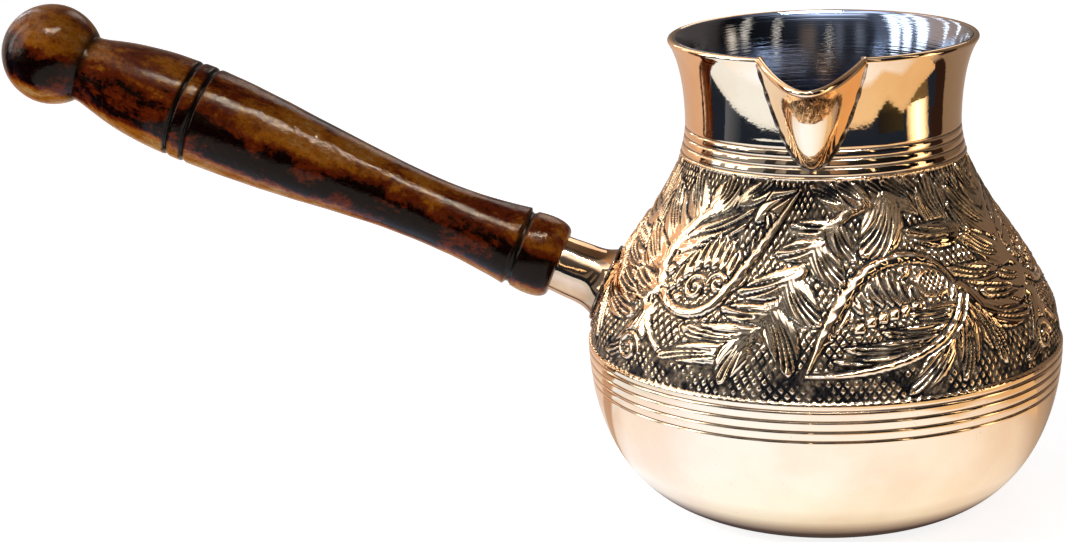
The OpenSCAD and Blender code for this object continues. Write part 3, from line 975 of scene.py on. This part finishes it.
def wood_material():
    """Stained, varnished wood: amber and red-brown clouds, a nearly black painted shade along the front, and
    a painted lighter underside.
    """
    n = Nodes("wood")
    turn = (0, -HANDLE_RISE, 0)
    cloud = n.noise(n.place(turn, (0.55, 1, 1)), 120, 6, 0.65, 0.5)
    to_axis = (0, 0, -HANDLE_Z * MM * math.cos(HANDLE_RISE))
    _, side, up = n.node("ShaderNodeSeparateXYZ", {0: n.place(turn, move=to_axis)}).outputs
    # painted shade: a nearly black band along the front of the grip, at the height that faces the dark room
    off_painted_shade = n.math("ABSOLUTE", n.math("ADD", up, 1.4 * MM))
    front = n.ramp(side, -6 * MM, 1 * MM, 1, 0)
    painted_front_shade = n.math("MULTIPLY", n.ramp(off_painted_shade, 2.0 * MM, 6.5 * MM, 1, 0), front)
    mottle = n.math("MULTIPLY", n.math("SUBTRACT", n.noise(n.place(turn), 700, 3, 0.7), 0.5), 0.3)
    tone = n.math("SUBTRACT", n.math("ADD", cloud, mottle), n.math("MULTIPLY", painted_front_shade, 0.2))
    # painted reflection: the underside of the grip lighter, as if lit from the floor
    under = n.math("MULTIPLY", n.ramp(up, -7.0 * MM, -4.5 * MM, 1, 0), 0.2)
    tone = n.math("ADD", tone, under)
    colour = n.mix(n.ramp(tone, 0.32, 0.43), WOOD_BLACK, WOOD_RED)
    colour = n.mix(n.ramp(tone, 0.44, 0.60), colour, WOOD_AMBER)
    colour = n.mix(n.ramp(tone, 0.60, 0.78), colour, WOOD_PALE)
    fine = n.noise(n.place(turn, (0.7, 1, 1)), 1500, 4, 0.7)
    colour = n.mix(n.ramp(fine, 0.42, 0.78, 0.0, 0.6), colour, (0.020, 0.0025, 0.0005, 1))
    colour = n.mix(n.value("burnt"), colour, (0.004, 0.003, 0.002, 1))
    waves = n.noise(n.place(), 240, 3)
    n.bump(n.math("SUBTRACT", waves, n.math("MULTIPLY", fine, 0.25)), 0.45, 0.0004)
    rough = n.ramp(waves, 0.3, 0.7, 0.02, 0.06)
    n.set(Specular_IOR_Level=0.17, Specular_Tint=(1.0, 0.66, 0.38, 1))
    return n.set(Base_Color=colour, Roughness=rough)


def iron_material():
    """Dull iron with rust spots."""
    n = Nodes("iron")
    cloud = n.noise(n.place(), 900, 4)
    colour = n.mix(n.ramp(cloud, 0.4, 0.7), (0.30, 0.27, 0.25, 1), (0.09, 0.05, 0.03, 1))
    n.bump(cloud, 0.3, 0.0002)
    return n.set(Base_Color=colour, Metallic=1.0, Roughness=n.ramp(cloud, 0.3, 0.7, 0.3, 0.55))


# ---------------------------------------------------------------- camera, floor and light

CAMERA_AWAY, CAMERA_HEIGHT = 0.494, 0.1813
CAMERA_AZIMUTH, CAMERA_YAW = math.radians(4.0), math.radians(7.121)
CAMERA_PITCH, CAMERA_ROLL = math.radians(14.913), math.radians(-2.012)
FLOOR = 8.0  # half the floor's width, and the backdrop's radius
FLOOR_Z = -0.0002
ROOM = 2.5  # distance of the mirrored walls
FRONT_SPAN = (-98, 104)
BACK_SPAN = (104, 262)


def make_camera():
    """Stands in front of the beak, a little to its right, looking slightly down."""
    camera = bpy.data.cameras.new("camera")
    camera.sensor_width = 36.0
    camera.lens = 80.93
    camera.clip_start = 0.01
    obj = add_object("camera", camera)
    turns = [(CAMERA_AZIMUTH + CAMERA_YAW, "Z"), (math.pi / 2 - CAMERA_PITCH, "X"), (CAMERA_ROLL, "Z")]
    first, second, third = (Matrix.Rotation(angle, 3, axis) for angle, axis in turns)
    x, y = CAMERA_AWAY * math.sin(CAMERA_AZIMUTH), -CAMERA_AWAY * math.cos(CAMERA_AZIMUTH)
    place = Matrix.Translation(Vector((x, y, CAMERA_HEIGHT)))
    obj.matrix_world = place @ (first @ second @ third).to_4x4()
    bpy.context.scene.camera = obj


def light_material(name, attribute=None):
    """A material that only gives off light: white, or each point's own colour."""
    n = Nodes(name)
    n.tree.nodes.remove(n.shader)
    colour = (1, 1, 1, 1)
    if attribute:
        colour = n.node("ShaderNodeAttribute", attribute_name=attribute).outputs["Color"]
    emission = n.node("ShaderNodeEmission", {"Color": colour})
    n.put(n.tree.nodes["Material Output"].inputs["Surface"], emission.outputs[0])
    return n.material


def studio_mesh(name, points, faces, material, met_by):
    """A piece of the studio that only the named kinds of ray meet."""
    mesh = bpy.data.meshes.new(name)
    mesh.from_pydata(points, [], faces)
    mesh.materials.append(material)
    obj = add_object(name, mesh)
    for ray in ("camera", "glossy", "diffuse", "shadow"):
        setattr(obj, "visible_" + ray, ray in met_by)
    return mesh


def make_floor():
    """Plain pale floor, larger than any view of the pot."""
    n = Nodes("floor")
    n.set(Base_Color=(0.45, 0.45, 0.45, 1), Roughness=0.9, Specular_IOR_Level=0.0)
    n.set(Emission_Color=(1, 1, 1, 1), Emission_Strength=0.86)
    corners = [(x * FLOOR, y * FLOOR, FLOOR_Z) for x, y in ((-1, -1), (1, -1), (1, 1), (-1, 1))]
    studio_mesh("floor", corners, [(0, 1, 2, 3)], n.material, ("camera", "diffuse", "shadow"))


def make_backdrop():
    """White wall all round the floor, closed by a cone, that only the camera sees."""
    sides = 48
    turns = [2 * math.pi * i / sides for i in range(sides)]
    points = [(FLOOR * math.cos(t), FLOOR * math.sin(t), z) for z in (-0.1, 9.0) for t in turns]
    points.append((0, 0, 12.0))
    faces = [(i, (i + 1) % sides, sides + (i + 1) % sides, sides + i) for i in range(sides)]
    faces += [(sides + i, sides + (i + 1) % sides, 2 * sides) for i in range(sides)]
    studio_mesh("backdrop", points, faces, light_material("backdrop"), ("camera",))


GLOW = light_material("glow", "glow")


def make_glow(name, points, colours):
    """A grid of points that gives off the colour of each point, seen only in the gloss of surfaces."""
    rows, columns = points.shape[:2]
    i, j = np.meshgrid(np.arange(columns - 1), np.arange(rows - 1))
    k = (j * columns + i).ravel()
    faces = np.stack([k, k + 1, k + columns + 1, k + columns], 1)
    mesh = studio_mesh(name, points.reshape(-1, 3).tolist(), faces.tolist(), GLOW, ("glossy",))
    layer = mesh.color_attributes.new("glow", "FLOAT_COLOR", "POINT")
    rgba = np.ones((rows, columns, 4), np.float32)
    rgba[..., :3] = colours
    layer.data.foreach_set("color", rgba.ravel())


def around_pot(azimuth, elevation, distance):
    """Points seen from the pot in directions given by their angles from the beak and above the floor."""
    turn, rise = np.radians(azimuth), np.radians(elevation)
    flat = distance * np.cos(rise)
    points = (flat * np.sin(turn), -flat * np.cos(turn), distance * np.sin(rise))
    return np.stack(np.broadcast_arrays(*points), -1)


def by_azimuth(azimuth, table):
    """Colours between those of a table of [azimuth, colour]."""
    at = [row[0] for row in table]
    return np.stack([np.interp(azimuth, at, [row[1][i] for row in table]) for i in range(3)], -1)


DARK = (0.030, 0.016, 0.014)
# How far the white sheet in front reaches, in metres, and its colours near the pot and further out
SHEET_EDGE = [(-98, 0.16), (-92, 0.19), (-70, 0.25), (-45, 0.30), (-15, 0.31), (20, 0.29)]
SHEET_EDGE += [(42, 0.28), (55, 0.20), (70, 0.26), (84, 0.20), (104, 0.16)]
SHEET = [
    (-98, (0.90, 0.85, 0.85)),
    (-85, (1.08, 1.25, 1.6)),
    (-50, (1.15, 1.50, 2.35)),
    (0, (1.15, 1.50, 2.2)),
    (50, (1.1, 1.28, 1.65)),
    (85, (0.95, 0.96, 1.02)),
    (104, (0.60, 0.50, 0.42)),
]
FAR_SHEET = [
    (-98, (0.95, 1.25, 1.75)),
    (-20, (1.0, 1.35, 1.95)),
    (4, (1.0, 1.1, 1.3)),
    (20, (0.97, 0.84, 0.66)),
    (60, (0.92, 0.76, 0.52)),
    (104, (0.86, 0.66, 0.42)),
]
# Colours of the table behind, near the pot and further out
NEAR_TABLE = [
    (104, (0.60, 0.50, 0.42)),
    (125, (0.36, 0.28, 0.22)),
    (200, (0.70, 0.55, 0.46)),
    (248, (0.88, 0.80, 0.78)),
    (250, (0.60, 0.45, 0.37)),
    (260, (0.60, 0.45, 0.37)),
    (262, (0.90, 0.85, 0.85)),
]
FAR_TABLE = [
    (104, DARK),
    (116, DARK),
    (117, (0.27, 0.22, 0.18)),
    (150, (0.32, 0.26, 0.22)),
    (200, (0.70, 0.55, 0.46)),
    (249, (0.82, 0.62, 0.52)),
    (250, DARK),
    (252, DARK),
    (253, (1.1, 0.85, 0.75)),
    (254, DARK),
    (262, DARK),
]
# Shade where the pot stands, over the distance from its axis in metres
FOOT = [
    (0.0, (0.04, 0.03, 0.02)),
    (0.030, (0.04, 0.03, 0.02)),
    (0.034, (0.08, 0.05, 0.035)),
    (0.037, (0.42, 0.33, 0.24)),
    (0.040, (0.82, 0.74, 0.58)),
    (0.045, (1.0, 0.97, 0.86)),
    (0.060, (1.0, 1.0, 0.97)),
]


def make_ground(name, azimuth, near, rows):
    """A glowing floor: the shade at the pot's foot, and then rows of [distance, colours]."""
    rows = [(reach, near * shade) for reach, shade in FOOT] + rows
    distances = np.array([reach + 0 * azimuth for reach, _ in rows])
    make_glow(name, around_pot(azimuth, 0.0, distances), np.array([colours for _, colours in rows]))


def make_table():
    """What the metal mirrors below the horizon: a white sheet in front and a warm table behind."""
    azimuth = np.linspace(*FRONT_SPAN, 60)
    edge = np.interp(azimuth, *zip(*SHEET_EDGE))
    near, far = by_azimuth(azimuth, SHEET), by_azimuth(azimuth, FAR_SHEET)
    rows = [(edge * 0.45, near), (edge * 0.55, far), (edge * 0.9, far), (edge, far * 0.85)]
    make_ground("white_sheet", azimuth, near, rows)
    azimuth = np.linspace(*BACK_SPAN, 159)
    near, far = by_azimuth(azimuth, NEAR_TABLE), by_azimuth(azimuth, FAR_TABLE)
    make_ground("table", azimuth, near, [(0.12, near), (0.14, far), (1.4, far * 0.85)])


# Brightness of the room in front, over elevation and over azimuth
FRONT = [(2, 0.03), (14, 0.04), (26, 0.07), (38, 0.09), (46, 0.16), (51, 1.0), (55, 2.5), (62, 3.0)]
FRONT += [(68, 1.8), (76, 0.5), (90, 0.4)]
FRONT_SIDES = [(-98, 1.2), (-20, 1.1), (6, 1.25), (26, 0.72), (45, 0.35), (60, 0.25), (80, 0.12), (104, 0.12)]
FRONT_TINT = (0.88, 1.0, 1.25)
WALLS = [
    (104, (0.10, 0.08, 0.07)),
    (125, (0.20, 0.16, 0.14)),
    (150, (0.18, 0.15, 0.13)),
    (186, (0.20, 0.17, 0.15)),
    (206, (0.48, 0.38, 0.31)),
    (225, (0.85, 0.66, 0.55)),
    (246, (1.05, 0.80, 0.66)),
    (262, (1.1, 0.9, 0.8)),
]


def make_room():
    """What the metal mirrors above the horizon: a dark front under a bright ceiling, warm walls behind."""
    azimuth, elevation = np.linspace(*FRONT_SPAN, 60), np.linspace(2, 90, 45)[:, None]
    level = np.interp(elevation, *zip(*FRONT)) * np.interp(azimuth, *zip(*FRONT_SIDES))
    make_glow("front_room", around_pot(azimuth, elevation, ROOM), level[..., None] * FRONT_TINT)
    azimuth, elevation = np.linspace(*BACK_SPAN, 50), np.linspace(-2, 90, 24)[:, None]
    level = np.interp(elevation, [-2, 50, 90], [0.9, 1.0, 0.7])
    colours = by_azimuth(azimuth, WALLS) * level[..., None]
    make_glow("back_room", around_pot(azimuth, elevation, ROOM), colours)


def make_card(name, azimuths, elevations, first, last=None, distance=2.4):
    """A bright or dark card in the room, shaded from one side to the other."""
    azimuth, elevation = np.linspace(*azimuths, 24), np.linspace(*elevations, 8)[:, None]
    colours = by_azimuth(azimuth, [(azimuths[0], first), (azimuths[1], last or first)])
    make_glow(name, around_pot(azimuth, elevation, distance), colours)


WINDOW = (5.0, 5.5, 6.0)
LAMP = (2.6, 2.3, 1.8)
# Cards: name, azimuths, elevations, and the colours at the first and last azimuth
CARDS = [
    ("sky", (-98, -44), (-3, 60), (0.42, 0.50, 0.66), (0.22, 0.26, 0.34), 2.45),
    ("dark_left", (-110, -98), (-16, 10), DARK),
    ("dark_right", (104, 116), (-16, 12), DARK),
    ("pane_1", (-97, -86), (6, 52), WINDOW),
    ("pane_2", (-79, -71), (6, 54), WINDOW),
    ("pane_3", (-67, -59), (8, 54), WINDOW),
    ("low_left", (-84, -66), (-30, -4), (0.13, 0.18, 0.32), (0.015, 0.03, 0.06)),
    ("low_right", (50, 74), (-30, -20), (0.02, 0.02, 0.02), (0.11, 0.09, 0.04)),
    ("low_right_edge", (50, 74), (-20, -13), (0.015, 0.015, 0.02), (0.045, 0.04, 0.02)),
    ("window_low", (77, 101), (-30, -20), (0.22, 0.18, 0.08), (0.16, 0.12, 0.07)),
    ("window_right", (77, 89), (-20, 4), (0.45, 0.35, 0.18), (3.4, 3.2, 2.6)),
    ("window_edge", (89, 101), (-20, 4), (3.4, 3.2, 2.6), (0.30, 0.20, 0.12)),
    ("window_right_top", (86, 93), (4, 26), (2.6, 2.2, 1.6), (2.2, 1.7, 1.2)),
    ("lamp_1", (44, 46.5), (12, 44), LAMP),
    ("lamp_2", (74, 78), (14, 44), LAMP),
    ("shelf_1", (10, 24), (6, 34), (0.34, 0.26, 0.20), (0.20, 0.15, 0.12)),
    ("shelf_2", (-14, -7), (6, 40), (0.32, 0.34, 0.38), (0.20, 0.22, 0.26)),
    ("shelf_3", (-34, -26), (4, 36), (0.20, 0.22, 0.26), (0.36, 0.40, 0.46)),
    ("lamp_3", (-3, -1.5), (10, 30), LAMP),
    ("strip", (-20, 60), (66.2, 68.4), (110.0, 140.0, 175.0)),
    ("pane_back", (164, 184), (24, 46), (2.0, 1.9, 1.8)),
    ("lamp_4", (-122, -119), (12, 60), WINDOW),
    ("lamp_5", (-140, -137), (12, 60), WINDOW),
]


def make_light(name, azimuth, elevation, distance, size, radiance, colour=(1, 1, 1)):
    """A softbox aimed at the pot, placed by angles from the beak and above the floor."""
    light = bpy.data.lights.new(name, "AREA")
    light.shape = "RECTANGLE"
    light.size, light.size_y = size
    light.energy = radiance * math.pi * size[0] * size[1]
    light.color = colour
    obj = add_object(name, light)
    aim = Vector((-0.03, 0, 0.06))
    way = Vector(around_pot(azimuth, elevation, 1.0))
    face = (-way).to_track_quat("-Z", "Y").to_matrix().to_4x4()
    obj.matrix_world = Matrix.Translation(aim + way * distance) @ face
    obj.visible_camera = obj.visible_glossy = False


def make_world():
    """A dark room."""
    world = bpy.data.worlds.new("room")
    world.use_nodes = True
    world.node_tree.nodes["Background"].inputs["Color"].default_value = (0.014, 0.026, 0.060, 1)
    bpy.context.scene.world = world


# ---------------------------------------------------------------- put together

make_camera()
make_floor()
make_backdrop()
make_world()
make_table()
make_room()
for card in CARDS:
    make_card(*card)
make_light("window_left", -62, 30, 1.2, (0.42, 0.8), 7.0, (0.93, 0.97, 1.0))
make_light("overhead", 10, 84, 1.3, (0.9, 0.7), 1.6)
make_light("wall_lamp", 168, 38, 1.3, (0.7, 0.5), 2.2, (1.0, 0.93, 0.86))
bpy.context.scene.view_settings.view_transform = "Standard"

sheet_copper = copper_material("copper_sheet", patina_and_shade=False)
old_copper = copper_material("copper_tube", light=OLD_COPPER, dark=OLD_COPPER_DARK)
solder = solder_material()
for make, node, slot, material in [
    (make_pot_body, "pot_body", "copper", copper_material("copper")),
    (make_tin_lining, "tin_lining", "tin", tin_material()),
    (make_beak, "beak", "copper", sheet_copper),
    (make_beak_solder, "beak_solder", "solder", solder),
    (make_handle_socket, "handle_socket", "copper", old_copper),
    (make_socket_solder, "socket_solder", "solder", solder),
    (make_handle_grip, "handle_grip", "wood", wood_material()),
]:
    piece = make()
    piece.data.materials.append(material)
    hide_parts(node)
    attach(piece, "root")

iron = iron_material()
for material_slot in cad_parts["socket_nail"].material_slots:
    material_slot.material = iron
